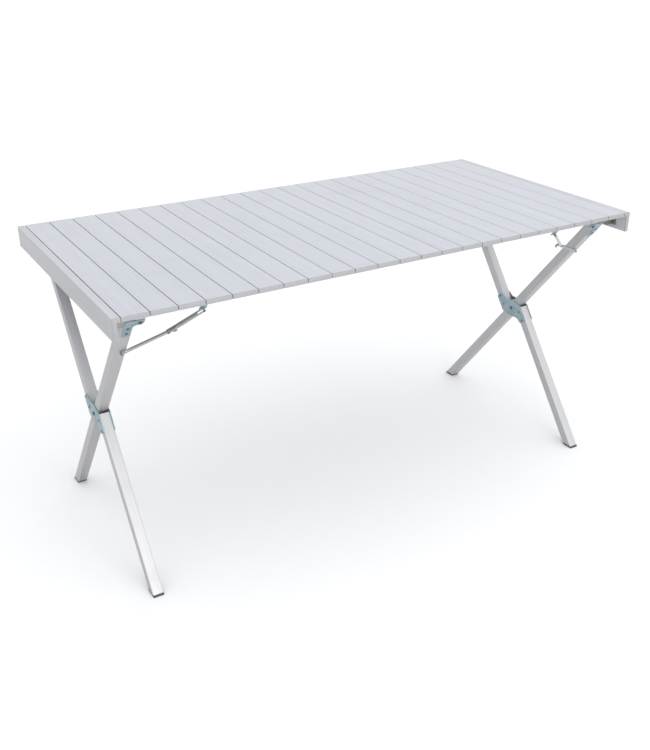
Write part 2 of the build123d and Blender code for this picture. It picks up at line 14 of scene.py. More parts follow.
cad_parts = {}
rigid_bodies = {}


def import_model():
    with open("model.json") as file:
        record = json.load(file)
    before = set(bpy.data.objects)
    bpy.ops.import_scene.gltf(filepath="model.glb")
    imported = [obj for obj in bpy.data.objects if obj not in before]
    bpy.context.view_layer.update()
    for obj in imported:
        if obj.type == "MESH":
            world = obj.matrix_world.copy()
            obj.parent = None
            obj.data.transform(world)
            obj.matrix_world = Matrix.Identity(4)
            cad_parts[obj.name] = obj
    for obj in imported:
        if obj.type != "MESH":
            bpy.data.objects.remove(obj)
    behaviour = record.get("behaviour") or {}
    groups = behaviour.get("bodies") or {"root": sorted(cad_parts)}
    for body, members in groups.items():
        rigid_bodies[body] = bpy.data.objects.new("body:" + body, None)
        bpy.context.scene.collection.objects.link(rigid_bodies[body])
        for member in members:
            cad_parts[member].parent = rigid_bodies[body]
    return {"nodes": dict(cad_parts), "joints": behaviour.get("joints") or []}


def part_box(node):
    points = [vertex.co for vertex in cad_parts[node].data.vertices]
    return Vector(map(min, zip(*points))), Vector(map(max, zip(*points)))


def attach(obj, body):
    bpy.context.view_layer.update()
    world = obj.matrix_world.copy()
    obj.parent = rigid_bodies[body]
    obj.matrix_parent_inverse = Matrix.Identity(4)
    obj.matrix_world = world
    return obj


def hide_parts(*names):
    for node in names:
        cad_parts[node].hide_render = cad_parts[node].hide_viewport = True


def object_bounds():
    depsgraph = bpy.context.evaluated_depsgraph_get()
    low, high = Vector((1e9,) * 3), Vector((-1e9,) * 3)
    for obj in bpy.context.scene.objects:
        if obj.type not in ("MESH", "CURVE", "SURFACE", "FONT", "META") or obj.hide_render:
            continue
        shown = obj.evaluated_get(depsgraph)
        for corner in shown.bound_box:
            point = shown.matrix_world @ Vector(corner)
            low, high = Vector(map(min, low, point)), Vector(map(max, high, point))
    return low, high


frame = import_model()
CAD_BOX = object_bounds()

log = logging.getLogger("folding_table")

MM = 0.001
WELD = 1e-7  # metres within which two points are one
NEAR = 1e-6  # metres within which a point is in a plane
SHARP_TURN = radians(35)
SQUARE = ((1, 1), (-1, 1), (-1, -1), (1, -1))  # signs of a square's corners, in order
Point2 = tuple[float, float]
Corner = tuple[float, float, float]
Colour = tuple[float, float, float]


class Side(Enum):
    """The two crossed frames, by the side of the table that their rail is on."""

    FRONT = -1
    BACK = 1

    @property
    def body(self) -> str:
        """Name of the CAD body that this frame's pieces ride on."""
        return f"{self.name.lower()}_frame"


class End(Enum):
    """The two ends of the table along X."""

    LEFT = -1
    RIGHT = 1

    @property
    def word(self) -> str:
        """The end's name in lower case, as node names have it."""
        return self.name.lower()


# ---------------------------------------------------------------- shader maths


class Field:
    """A number that varies over a surface and takes part in Python arithmetic."""

    def __init__(self, graph: "ShaderGraph", socket: bpy.types.NodeSocket) -> None:
        """Wraps one output socket of a graph."""
        self.graph = graph
        self.socket = socket

    def math(self, operation: str, *others: Any) -> "Field":
        """Adds a Math node for an operation on this field and the values after it."""
        return self.graph.node("ShaderNodeMath", dict(enumerate((self, *others))), operation=operation)

    def __add__(self, other: Any) -> "Field":
        """Sum."""
        return self.math("ADD", other)

    __radd__ = __add__

    def __mul__(self, other: Any) -> "Field":
        """Product."""
        return self.math("MULTIPLY", other)

    __rmul__ = __mul__

    def __sub__(self, other: Any) -> "Field":
        """Difference."""
        return self.math("SUBTRACT", other)

    def __rsub__(self, other: Any) -> "Field":
        """Reflected difference, so that 1 - field works."""
        return self.graph.node("ShaderNodeMath", {0: other, 1: self}, operation="SUBTRACT")

    def ramp(self, low: float, high: float) -> "Field":
        """Smooth step from 0 at low to 1 at high."""
        values = {"Value": self, "From Min": low, "From Max": high}
        return self.graph.node("ShaderNodeMapRange", values, interpolation_type="SMOOTHSTEP")


class ShaderGraph:
    """The node tree of one material."""

    def __init__(self, name: str) -> None:
        """Makes an empty material with that name and its Principled shader."""
        self.material = bpy.data.materials.new(name)
        self.material.use_nodes = True
        self.tree = self.material.node_tree
        self.shader = self.tree.nodes["Principled BSDF"]
        self.objects = self.tree.nodes.new("ShaderNodeTexCoord").outputs["Object"]

    def node(self, kind: str, values: dict, output: int | str = 0, **settings: Any) -> Field:
        """Adds one node of any type.

        Args:
            kind: the node's type name.
            values: input names or indices, each with its number, colour, socket or field.
            output: the output that is returned.
            settings: the node's own properties, which are set first.

        Returns:
            The chosen output.
        """
        made = self.tree.nodes.new(kind)
        for name, value in settings.items():
            setattr(made, name, value)
        for key, value in values.items():
            self.feed(made.inputs[key], value)
        return Field(self, made.outputs[output])

    def feed(self, socket: bpy.types.NodeSocket, value: Any) -> None:
        """Links a field or socket to an input, or sets the input's own value."""
        if isinstance(value, Field):
            value = value.socket
        if isinstance(value, bpy.types.NodeSocket):
            self.tree.links.new(value, socket)
        else:
            socket.default_value = value

    def place(self, scale: Corner, turn: Corner = (0, 0, 0), shift: Corner = (0, 0, 0)) -> Field:
        """Object coordinates, turned, shifted and scaled for one pattern."""
        values = {"Vector": self.objects, "Location": shift, "Rotation": turn}
        turned = self.node("ShaderNodeMapping", values, vector_type="POINT")
        return self.node("ShaderNodeMapping", {"Vector": turned, "Scale": scale}, vector_type="POINT")

    def noise(self, vector: Field, scale: float, detail: float = 3.0, rough: float = 0.5) -> Field:
        """Noise from 0 to 1 over the given coordinates."""
        values = {"Vector": vector, "Scale": scale, "Detail": detail, "Roughness": rough}
        return self.node("ShaderNodeTexNoise", values)

    def blend(self, mask: Any, first: Any, second: Any) -> Field:
        """Mixes two colours by a mask."""
        values = {"Factor": mask, 6: first, 7: second}
        return self.node("ShaderNodeMix", values, output=2, data_type="RGBA")

    def bump(self, height: Field, distance: float, strength: float = 1.0) -> None:
        """Feeds a height in metres into the shader's normal."""
        values = {"Height": height, "Distance": distance, "Strength": strength}
        self.feed(self.shader.inputs["Normal"], self.node("ShaderNodeBump", values))

    def dress(self, **values: Any) -> bpy.types.Material:
        """Sets the shader's inputs, with underscores for spaces in their names, and ends the material."""
        for name, value in values.items():
            self.feed(self.shader.inputs[name.replace("_", " ")], value)
        return self.material


def rgba(colour: Colour) -> tuple[float, float, float, float]:
    """The colour with full alpha."""
    return (*colour, 1.0)


def shade(colour: Colour, factor: float) -> tuple[float, float, float, float]:
    """The colour made darker or lighter by a factor, kept at most 1."""
    return rgba(tuple(min(1.0, part * factor) for part in colour))


# ---------------------------------------------------------------- finishes


@dataclass(frozen=True)
class AnodisedAluminium:
    """Satin anodised extrusion with drawn lines along one direction."""

    name: str
    colour: Colour
    grain: Corner = (1.0, 0.02, 1.0)
    turn: Corner = (0.0, 0.0, 0.0)
    roughness: float = 0.52
    metal: float = 0.7
    slot: str = "frame_aluminium"

    def make(self) -> bpy.types.Material:
        """Builds the material.

        Returns:
            Drawn lines in colour and roughness, soft handling marks and a fine bump.
        """
        graph = ShaderGraph(self.name)
        drawn = graph.noise(graph.place(self.grain, self.turn), 1400.0, 4.0, 0.6)
        bands = graph.noise(graph.place(self.grain, self.turn, (0.3, 0.1, 0.7)), 160.0, 2.0)
        marks = graph.noise(graph.place((1.0, 1.0, 1.0)), 9.0, 3.0, 0.6)
        speckle = graph.noise(graph.place((1.0, 1.0, 1.0)), 2600.0, 2.0)
        tone = (drawn * 0.5 + bands * 0.5).ramp(0.3, 0.7)
        colour = graph.blend(tone, shade(self.colour, 0.94), shade(self.colour, 1.03))
        worn = marks.ramp(0.52, 0.8) * 0.1
        colour = graph.blend(worn, colour, shade(self.colour, 0.82))
        rough = self.roughness + (drawn - 0.5) * 0.16 + marks.ramp(0.45, 0.75) * 0.07
        graph.bump(drawn * 0.7 + speckle * 0.3, 0.00004, 0.5)
        return graph.dress(Base_Color=colour, Roughness=rough, Metallic=self.metal)


@dataclass(frozen=True)
class PassivatedZinc:
    """Zinc plate on pressed steel, with the cloudy tint of its passivation."""

    name: str
    colour: Colour
    tint: Colour
    roughness: float = 0.38
    metal: float = 0.8
    slot: str = "blue_zinc"

    def make(self) -> bpy.types.Material:
        """Builds the material.

        Returns:
            Two tints in soft clouds, with a crystalline speckle and small dull spots.
        """
        graph = ShaderGraph(self.name)
        place = graph.place((1.0, 1.0, 1.0))
        clouds = graph.noise(place, 55.0, 4.0, 0.65)
        crystals = graph.node("ShaderNodeTexVoronoi", {"Vector": place, "Scale": 900.0})
        dull = graph.noise(graph.place((1.0, 1.0, 1.0), shift=(0.4, 0.2, 0.9)), 240.0, 2.0)
        colour = graph.blend(clouds.ramp(0.35, 0.68), rgba(self.colour), rgba(self.tint))
        colour = graph.blend(dull.ramp(0.62, 0.75) * 0.35, colour, shade(self.colour, 0.6))
        rough = self.roughness + clouds * 0.12 + crystals * 0.1
        graph.bump(crystals * 0.5 + clouds * 0.5, 0.00006, 0.45)
        return graph.dress(Base_Color=colour, Roughness=rough, Metallic=self.metal)


@dataclass(frozen=True)
class MouldedPlastic:
    """Moulded plastic with a fine spark-eroded texture."""

    name: str
    colour: Colour
    roughness: float = 0.55
    texture: float = 1500.0
    slot: str = "rail_plug_plastic"

    def make(self) -> bpy.types.Material:
        """Builds the material.

        Returns:
            An even colour with a fine pebble bump and slight scuffs.
        """
        graph = ShaderGraph(self.name)
        place = graph.place((1.0, 1.0, 1.0))
        pebble = graph.noise(place, self.texture, 2.0, 0.6)
        scuff = graph.noise(graph.place((1.0, 6.0, 1.0)), 70.0, 3.0, 0.7)
        colour = graph.blend(scuff.ramp(0.58, 0.78) * 0.35, rgba(self.colour), shade(self.colour, 1.35))
        colour = graph.blend(pebble * 0.25, colour, shade(self.colour, 0.8))
        rough = self.roughness + pebble * 0.14 - scuff.ramp(0.5, 0.8) * 0.08
        graph.bump(pebble, 0.00008, 0.6)
        return graph.dress(Base_Color=colour, Roughness=rough, Metallic=0.0)


@dataclass(frozen=True)
class BraidedElastic:
    """Woven sleeve of the elastic cord, with strands that cross round it."""

    name: str
    colour: Colour
    middle_y: float
    middle_z: float
    strands: float = 8.0
    lay: float = 3400.0
    slot: str = "cord_elastic"

    def make(self) -> bpy.types.Material:
        """Builds the material.

        Returns:
            Two sets of strands that cross, from the place round and along the cord, with painted shade
            darkening the grooves between the strands.
        """
        graph = ShaderGraph(self.name)
        values = {"Vector": graph.objects}
        split = graph.node("ShaderNodeSeparateXYZ", values)
        outputs = split.socket.node.outputs
        x, y, z = (Field(graph, outputs[axis]) for axis in "XYZ")
        across = y.math("ABSOLUTE") - self.middle_y
        turn = (z - self.middle_z).math("ARCTAN2", across) * self.strands
        first = (x * self.lay + turn).math("SINE") * 0.5 + 0.5
        second = (x * self.lay - turn).math("SINE") * 0.5 + 0.5
        weave = first.math("MAXIMUM", second)
        # Painted shade: the colour drops to 0.45 of the cord's where the weave dips between strands.
        colour = graph.blend(weave.ramp(0.2, 0.9), shade(self.colour, 0.45), rgba(self.colour))
        graph.bump(weave, 0.0002, 0.8)
        return graph.dress(Base_Color=colour, Roughness=0.85 - weave * 0.15, Metallic=0.0)


@dataclass(frozen=True)
class StudioPaper:
    """Plain pale background paper with a very faint tooth."""

    name: str = "studio_paper"
    colour: Colour = (0.68, 0.68, 0.685)

    def make(self) -> bpy.types.Material:
        """Builds the material."""
        graph = ShaderGraph(self.name)
        tooth = graph.noise(graph.place((1.0, 1.0, 1.0)), 320.0, 2.0)
        colour = graph.blend(tooth * 0.3, rgba(self.colour), shade(self.colour, 0.985))
        return graph.dress(Base_Color=colour, Roughness=0.95)


class FinishBook:
    """Keeps one material for each finish, so that pieces share them."""

    def __init__(self) -> None:
        """Starts with no material made."""
        self.made: dict[str, bpy.types.Material] = {}

    def __call__(self, finish: Any) -> bpy.types.Material:
        """The material of a finish, made the first time that it is asked for."""
        if finish.name not in self.made:
            self.made[finish.name] = finish.make()
        return self.made[finish.name]


MATERIALS = FinishBook()

SLAT_METAL = AnodisedAluminium("slat_metal", (0.445, 0.458, 0.492), slot="slat_aluminium")
RAIL_METAL = AnodisedAluminium("end_rail_metal", (0.43, 0.435, 0.452), slot="end_rail_aluminium")
FRAME_METAL = AnodisedAluminium("rail_metal", (0.45, 0.45, 0.46), grain=(0.02, 1.0, 1.0))
# Plug grey of the slats and end rails: partly the plastic's own grey, partly painted shade, darkened so the
# front-facing ends read as shaded.
SLAT_PLUG_AND_SHADE = MouldedPlastic("slat_plug_grey", (0.26, 0.26, 0.272))
RAIL_PLUG = MouldedPlastic("rail_plug_grey", (0.34, 0.34, 0.35))
LEG_PLUG = MouldedPlastic("half_leg_plug_grey", (0.62, 0.62, 0.63))
FOOT_RUBBER = MouldedPlastic("foot_black", (0.025, 0.025, 0.028), 0.5, 1100.0, "foot_plastic")
BLUE_ZINC = PassivatedZinc("blue_zinc", (0.24, 0.335, 0.39), (0.34, 0.40, 0.415))
STAY_ZINC = PassivatedZinc("stay_zinc", (0.33, 0.35, 0.355), (0.40, 0.405, 0.39), slot="stay_zinc")
YELLOW_ZINC = PassivatedZinc(
    "yellow_zinc", (0.21, 0.203, 0.163), (0.175, 0.178, 0.16), slot="lug_yellow_zinc"
)
STAY_YELLOW = PassivatedZinc("stay_yellow_zinc", (0.56, 0.54, 0.43), (0.48, 0.48, 0.42), slot="stay_zinc")
FASTENER_ZINC = PassivatedZinc(
    "fastener_zinc", (0.10, 0.115, 0.125), (0.16, 0.175, 0.18), slot="fastener_zinc"
)


# ---------------------------------------------------------------- mesh making


def axes(origin: Vector, along: Vector, across: Vector) -> Matrix:
    """A right-handed frame as a matrix.

    Args:
        origin: where its zero lies.
        along: its X direction.
        across: its Y direction, square to along.

    Returns:
        The matrix that takes local points into the table's frame.
    """
    x = along.normalized()
    y = across.normalized()
    z = x.cross(y)
    matrix = Matrix((x, y, z)).transposed().to_4x4()
    matrix.translation = origin
    return matrix


class Workpiece:
    """One mesh in the making, shaped by bmesh operators and then turned into a piece."""

    def __init__(self) -> None:
        """Starts empty."""
        self.bm = bmesh.new()

    def block(self, low: Sequence[float], high: Sequence[float]) -> None:
        """Adds a box between two corners."""
        verts = bmesh.ops.create_cube(self.bm, size=1.0)["verts"]
        low, high = Vector(low), Vector(high)
        bmesh.ops.scale(self.bm, vec=high - low, verts=verts)
        bmesh.ops.translate(self.bm, vec=(low + high) / 2, verts=verts)

    def rod(self, place: Matrix, radius: float, length: float, segments: int) -> None:
        """Adds a closed cylinder round the Z axis of a frame, half its length to each side."""
        sizes = {"radius1": radius, "radius2": radius, "depth": length}
        bmesh.ops.create_cone(self.bm, cap_ends=True, segments=segments, matrix=place, **sizes)

    def bevel(self, geom: Iterable, offset: float, segments: int = 2, affect: str = "EDGES") -> None:
        """Bevels edges or vertices with a round profile."""
        bmesh.ops.bevel(
            self.bm,
            geom=list(geom),
            offset=offset,
            offset_type="OFFSET",
            segments=segments,
            profile=0.5,
            affect=affect,
            material=-1,
            clamp_overlap=True,
        )

    def edges_where(self, test: Callable[[bmesh.types.BMEdge], bool]) -> list[bmesh.types.BMEdge]:
        """The edges that pass a test."""
        return [edge for edge in self.bm.edges if test(edge)]

    def sharp_edges(self, angle: float = 0.6) -> list[bmesh.types.BMEdge]:
        """The edges between two faces that turn by more than an angle in radians."""
        return self.edges_where(lambda edge: edge.is_manifold and edge.calc_face_angle(0.0) > angle)

    def outline(self, corners: Sequence[Corner], segments: int = 5) -> None:
        """Adds a flat face in the XY plane from its corners.

        Args:
            corners: x, y and the corner's radius, in order round the shape.
            segments: steps in each rounded corner.
        """
        verts = [self.bm.verts.new((x, y, 0.0)) for x, y, _ in corners]
        self.bm.faces.new(verts)
        count = len(corners)
        for index, (x, y, radius) in enumerate(corners):
            if radius:
                here = Vector((x, y))
                before = Vector(corners[index - 1][:2]) - here
                after = Vector(corners[(index + 1) % count][:2]) - here
                offset = radius / tan(before.angle(after) / 2)
                self.bevel([verts[index]], offset, segments, "VERTICES")

    def pierce(self, holes: Sequence[Corner], stretch: float, segments: int = 16) -> None:
        """Cuts round-ended slots in the only flat face so far.

        Args:
            holes: x, y and the radius of each slot's ends.
            stretch: the straight length of the slots along X.
            segments: steps round each slot.
        """
        bmesh.ops.delete(self.bm, geom=self.bm.faces[:], context="FACES_ONLY")
        for x, y, radius in holes:
            place = Matrix.Translation((x, y, 0.0))
            ring = bmesh.ops.create_circle(
                self.bm, cap_ends=False, segments=segments, radius=radius, matrix=place
            )["verts"]
            for way in (-1, 1):
                half = [vert for vert in ring if way * (vert.co.x - x) > radius * 0.01]
                bmesh.ops.translate(self.bm, vec=(way * stretch / 2, 0.0, 0.0), verts=half)
        bmesh.ops.triangle_fill(self.bm, use_beauty=True, edges=self.bm.edges[:], normal=(0.0, 0.0, 1.0))

    def thicken(self, amount: float) -> None:
        """Extrudes the flat face along +Z into a closed solid."""
        made = bmesh.ops.extrude_face_region(self.bm, geom=self.bm.faces[:], use_keep_orig=True)["geom"]
        verts = [item for item in made if isinstance(item, bmesh.types.BMVert)]
        bmesh.ops.translate(self.bm, vec=(0.0, 0.0, amount), verts=verts)

    def soften(self, radius: float = 0.25 * MM, segments: int = 2) -> None:
        """Rounds the sharp edges."""
        bmesh.ops.recalc_face_normals(self.bm, faces=self.bm.faces[:])
        self.bevel(self.sharp_edges(), radius, segments)

    def move(self, matrix: Matrix) -> None:
        """Places the whole mesh."""
        bmesh.ops.transform(self.bm, matrix=matrix, verts=self.bm.verts[:])

    def cut(
        self, point: Sequence[float], normal: Sequence[float], keep: bool = False
    ) -> list[bmesh.types.BMEdge]:
        """Cuts the mesh by a plane.

        Args:
            point: a point on the plane.
            normal: the plane's normal, which points to what goes.
            keep: whether both sides stay, with edges along the cut.

        Returns:
            The cut edges.
        """
        geom = self.bm.verts[:] + self.bm.edges[:] + self.bm.faces[:]
        made = bmesh.ops.bisect_plane(
            self.bm, geom=geom, plane_co=point, plane_no=normal, clear_outer=not keep, dist=WELD
        )["geom_cut"]
        return [item for item in made if isinstance(item, bmesh.types.BMEdge)]

    def absorb(self, other: "Workpiece") -> None:
        """Takes in another workpiece's mesh."""
        mesh = bpy.data.meshes.new("joined")
        other.bm.to_mesh(mesh)
        self.bm.from_mesh(mesh)
        bpy.data.meshes.remove(mesh)
        other.bm.free()

    def piece(self, name: str, body: str, finish: Any, replaces: Sequence[str] = ()) -> None:
        """Ends the mesh as an object at the origin that rides on a body.

        Args:
            name: the piece's name.
            body: the CAD body that it moves with.
            finish: the finish it is dressed in.
            replaces: the CAD nodes that it stands for.
        """
        bmesh.ops.remove_doubles(self.bm, verts=self.bm.verts[:], dist=WELD)
        bmesh.ops.recalc_face_normals(self.bm, faces=self.bm.faces[:])
        mesh = bpy.data.meshes.new(name)
        self.bm.to_mesh(mesh)
        self.bm.free()
        mesh.shade_smooth()
        mesh.set_sharp_from_angle(angle=SHARP_TURN)
        made = bpy.data.objects.new(name, mesh)
        bpy.context.scene.collection.objects.link(made)
        made.data.materials.append(MATERIALS(finish))
        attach(made, body)
        if replaces:
            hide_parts(*replaces)
        log.info("%s: %d faces on %s", name, len(mesh.polygons), body)


def dress_node(name: str, finish: Any) -> None:
    """Gives a CAD node that stays its finish."""
    made = frame["nodes"][name]
    made.data.materials.clear()
    made.data.materials.append(MATERIALS(finish))
    log.info("%s: CAD shape in %s", name, finish.name)


def dome_head(place: Matrix, radius: float, height: float, steps: int = 20) -> Workpiece:
    """A closed domed rivet head that stands on a surface.

    Args:
        place: frame whose Z points out of the surface.
        radius: the head's radius.
        height: how far it stands out.
        steps: steps round the head.

    Returns:
        The head as a workpiece.
    """
    head = Workpiece()
    reach = 4
    profile = [(radius, -0.2 * height), (radius, 0.15 * height)]
    for step in range(1, reach + 1):
        angle = step / reach * pi / 2
        profile.append((radius * cos(angle), height * (0.15 + 0.85 * sin(angle))))
    profile = [(0.0, -0.2 * height), *profile]
    verts = [head.bm.verts.new((r, 0.0, z)) for r, z in profile]
    edges = [head.bm.edges.new(pair) for pair in zip(verts, verts[1:])]
    bmesh.ops.spin(
        head.bm,
        geom=verts + edges,
        cent=(0.0, 0.0, 0.0),
        axis=(0.0, 0.0, 1.0),
        angle=2 * pi,
        steps=steps,
        use_merge=True,
    )
    bmesh.ops.remove_doubles(head.bm, verts=head.bm.verts[:], dist=WELD)
    head.move(place)
    return head


def hex_head(place: Matrix, across: float, height: float, washer: float) -> Workpiece:
    """A hexagon nut or bolt head on a washer.

    Args:
        place: frame whose Z points out of the surface.
        across: the hexagon's size across its flats.
        height: the hexagon's height.
        washer: the washer's radius.

    Returns:
        The head and washer as one workpiece.
    """
    nut = Workpiece()
    thin = 0.22 * height
    at_washer = place @ Matrix.Translation((0.0, 0.0, thin / 2))
    at_hexagon = place @ Matrix.Translation((0.0, 0.0, thin + height / 2))
    at_stud = place @ Matrix.Translation((0.0, 0.0, thin + height * 1.1))
    rings = (
        (24, washer, thin, at_washer, 0.12),
        (6, across / 2 / cos(pi / 6), height, at_hexagon, 0.1),
        (16, across * 0.27, height * 0.3, at_stud, 0.1),
    )
    for segments, radius, depth, matrix, share in rings:
        ring = Workpiece()
        ring.rod(matrix, radius, depth, segments)
        ring.soften(min(depth, radius) * share)
        nut.absorb(ring)
    return nut


# ---------------------------------------------------------------- measures


@dataclass(frozen=True)
class Build:
    """Sizes of the table that the frame's boxes don't give by themselves, in metres."""

    sheet: float = 2.0 * MM
    tube_wall: float = 1.5 * MM
    tube_radius: float = 1.6 * MM
    split_offset: float = 26.2 * MM
    split_end: float = 10.5 * MM
    sole: float = 5.0 * MM

    @property
    def pivot(self) -> Vector:
        """The scissor's axis at the middle of the table."""
        joint = next(item for item in frame["joints"] if item["name"] == "scissor_fold")
        return Vector(joint["pos_m"])

    @property
    def leg(self) -> float:
        """Size of the square leg tube."""
        low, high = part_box("split_leg_upper_left")
        return high.x - low.x

    def leg_x(self, end: End) -> float:
        """X of the middle of the legs at one end."""
        low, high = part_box(f"split_leg_upper_{end.word}")
        return (low.x + high.x) / 2

    def rail_edge(self, side: Side) -> Vector:
        """Lower outer edge of a rail, at the middle of the table."""
        low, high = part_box(f"{side.name.lower()}_rail")
        return Vector((0.0, low.y if side is Side.FRONT else high.y, low.z))

    def lean(self, side: Side) -> float:
        """Angle of a frame's legs from upright."""
        edge, pivot = self.rail_edge(side), self.pivot
        across, rise = side.value * (edge.y - pivot.y), edge.z - pivot.z
        offset = self.leg / 2 - self.sheet
        if side is Side.BACK:
            offset += self.split_offset
        return atan2(across, rise) - asin(offset / hypot(across, rise))

    def up_leg(self, side: Side) -> Vector:
        """Direction up a frame's legs."""
        angle = self.lean(side)
        return Vector((0.0, side.value * sin(angle), cos(angle)))

    def outward(self, side: Side) -> Vector:
        """Direction out of the outer faces of a frame's legs."""
        angle = self.lean(side)
        return Vector((0.0, side.value * cos(angle), -sin(angle)))

    def face(self, side: Side, lift: float = 0.0) -> Matrix:
        """Frame of the legs' outer face: +Y up the leg and +Z outward, level with the rail's edge."""
        origin = self.rail_edge(side) + self.outward(side) * (self.sheet + lift)
        return axes(origin, Vector((-side.value, 0.0, 0.0)), self.up_leg(side))

    def leg_section(self, side: Side, x: float, across: float = 0.0) -> Matrix:
        """Frame across a leg at the pivot: +Z up the leg and +X as the table's."""
        along = self.up_leg(side)
        x_axis = Vector((1.0, 0.0, 0.0))
        y_axis = along.cross(x_axis)
        return axes(Vector((x, self.pivot.y, self.pivot.z)) + y_axis * across, x_axis, y_axis)

    def cross(self, x: float) -> Matrix:
        """Frame of a cross plate: +X up the split leg, +Y to the front and up, +Z along the table."""
        up = self.up_leg(Side.BACK)
        return axes(Vector((x, self.pivot.y, self.pivot.z)), up, Vector((1.0, 0.0, 0.0)).cross(up))


BUILD = Build()


# ---------------------------------------------------------------- the roll-up top


@dataclass
class RollTop:
    """The slats, their plugs, the end rails, the lugs and the elastic cords."""

    count: int = 23
    edge_radius: float = 0.9 * MM
    plug_plate: float = 2.5 * MM
    seam: float = 0.18 * MM
    groove_width: float = 3.0 * MM
    groove_depth: float = 0.5 * MM
    groove_slope: float = 0.6 * MM
    cord_inset: float = 78.0 * MM
    cord_radius: float = 2.0 * MM
    cord_overlap: float = 0.6 * MM
    cord_colour: Colour = (0.80, 0.80, 0.78)
    cap_height: float = 10.0 * MM
    blade: float = 10.0 * MM
    rail_radius: float = 1.2 * MM

    def build(self) -> None:
        """Builds every piece of the top."""
        for number in range(1, self.count + 1):
            self.slat(f"slat_{number:02d}")
            self.cord_run(f"slat_{number:02d}")
        for end in End:
            self.end_rail(end)
            dress_node(f"{end.word}_rail_lugs", YELLOW_ZINC)
        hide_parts("elastic_cords")

    def slat(self, node: str) -> None:
        """Builds one slat's shell and its two end plugs."""
        low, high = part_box(node)
        plate = Vector((0.0, self.plug_plate, 0.0))
        shell = Workpiece()
        shell.block(low + plate, high - plate)
        along = shell.edges_where(lambda e: abs(e.verts[0].co.y - e.verts[1].co.y) > self.plug_plate)
        shell.bevel(along, self.edge_radius, 4)
        self.groove_underside(shell, low, high)
        ends = shell.edges_where(lambda e: e.is_manifold and self.at_end(e, low.y, high.y))
        shell.bevel(ends, self.seam, 1)
        shell.piece(f"{node}_shell", node, SLAT_METAL, [node])
        plugs = Workpiece()
        for start, stop in ((low.y, low.y + self.plug_plate), (high.y - self.plug_plate, high.y)):
            plug = Workpiece()
            plug.block((low.x, start, low.z), (high.x, stop, high.z))
            plug.bevel(plug.edges_where(self.runs_y), self.edge_radius, 4)
            plug.soften(self.seam * 2, 2)
            plugs.absorb(plug)
        plugs.piece(f"{node}_plugs", node, SLAT_PLUG_AND_SHADE)

    @staticmethod
    def runs_y(edge: bmesh.types.BMEdge) -> bool:
        """Whether an edge runs along the slat."""
        first, second = edge.verts
        return abs(first.co.y - second.co.y) > (first.co.xz - second.co.xz).length

    def at_end(self, edge: bmesh.types.BMEdge, low: float, high: float) -> bool:
        """Whether an edge lies in the plane where a slat meets its plug."""
        near = [
            min(abs(vert.co.y - low - self.plug_plate), abs(vert.co.y - high + self.plug_plate))
            for vert in edge.verts
        ]
        return max(near) < self.seam / 2

    def groove_underside(self, shell: Workpiece, low: Vector, high: Vector) -> None:
        """Presses two shallow grooves along the slat's underside, over its inner ribs."""
        width = high.x - low.x
        for share in (1 / 3, 2 / 3):
            for way in (-1, 1):
                x = low.x + width * share + way * self.groove_width / 2
                shell.cut((x, 0.0, 0.0), (1.0, 0.0, 0.0), keep=True)
        floors = self.narrow_floors(shell)
        sizes = {"thickness": self.groove_slope, "depth": -self.groove_depth}
        bmesh.ops.inset_individual(shell.bm, faces=floors, **sizes)

    def narrow_floors(self, shell: Workpiece) -> list[bmesh.types.BMFace]:
        """The underside faces that are as narrow as a groove."""
        found = []
        for face in shell.bm.faces:
            xs = [vert.co.x for vert in face.verts]
            if face.normal.z < -0.9 and abs(max(xs) - min(xs) - self.groove_width) < 1e-5:
                found.append(face)
        return found

    def cord_run(self, node: str) -> None:
        """Builds the stretch of both elastic cords that one slat carries."""
        low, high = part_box(node)
        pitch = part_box("slat_02")[0].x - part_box("slat_01")[0].x
        length = pitch + 2 * self.cord_overlap
        runs = Workpiece()
        for y in (low.y + self.cord_inset, high.y - self.cord_inset):
            run = Workpiece()
            middle = Matrix.Translation(((low.x + high.x) / 2, y, (low.z + high.z) / 2))
            run.rod(middle @ Matrix.Rotation(pi / 2, 4, "Y"), self.cord_radius, length, 14)
            run.soften(self.cord_radius * 0.45, 3)
            runs.absorb(run)
        height = (low.z + high.z) / 2
        braid = BraidedElastic("braided_elastic", self.cord_colour, abs(low.y + self.cord_inset), height)
        runs.piece(f"{node}_cords", node, braid)

    def end_rail(self, end: End) -> None:
        """Builds one end rail's shell and its two caps."""
        node = f"{end.word}_end_rail"
        low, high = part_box(node)
        outer = high.x if end is End.RIGHT else low.x
        inner = low.x if end is End.RIGHT else high.x
        way = end.value
        corners = [
            (outer, high.z, self.rail_radius),
            (outer, low.z, self.rail_radius),
            (outer - way * self.blade, low.z, self.rail_radius),
            (outer - way * self.blade, high.z - self.cap_height, self.rail_radius),
            (inner, high.z - self.cap_height, self.rail_radius),
            (inner, high.z, self.rail_radius),
        ]
        upright = axes(Vector(), Vector((1.0, 0.0, 0.0)), Vector((0.0, 0.0, 1.0)))
        front, back = low.y + self.plug_plate, high.y - self.plug_plate
        spans = [
            (f"{node}_shell", front, back, RAIL_METAL, [node], self.seam),
            (f"{node}_front_cap", low.y, front, SLAT_PLUG_AND_SHADE, [], 2 * self.seam),
            (f"{node}_back_cap", back, high.y, SLAT_PLUG_AND_SHADE, [], 2 * self.seam),
        ]
        for name, start, stop, finish, nodes, edge in spans:
            bar = Workpiece()
            bar.outline(corners, 4)
            bar.thicken(stop - start)
            bar.soften(edge)
            bar.move(Matrix.Translation((0.0, stop, 0.0)) @ upright)
            bar.piece(name, node, finish, nodes)


# ---------------------------------------------------------------- tubes and feet


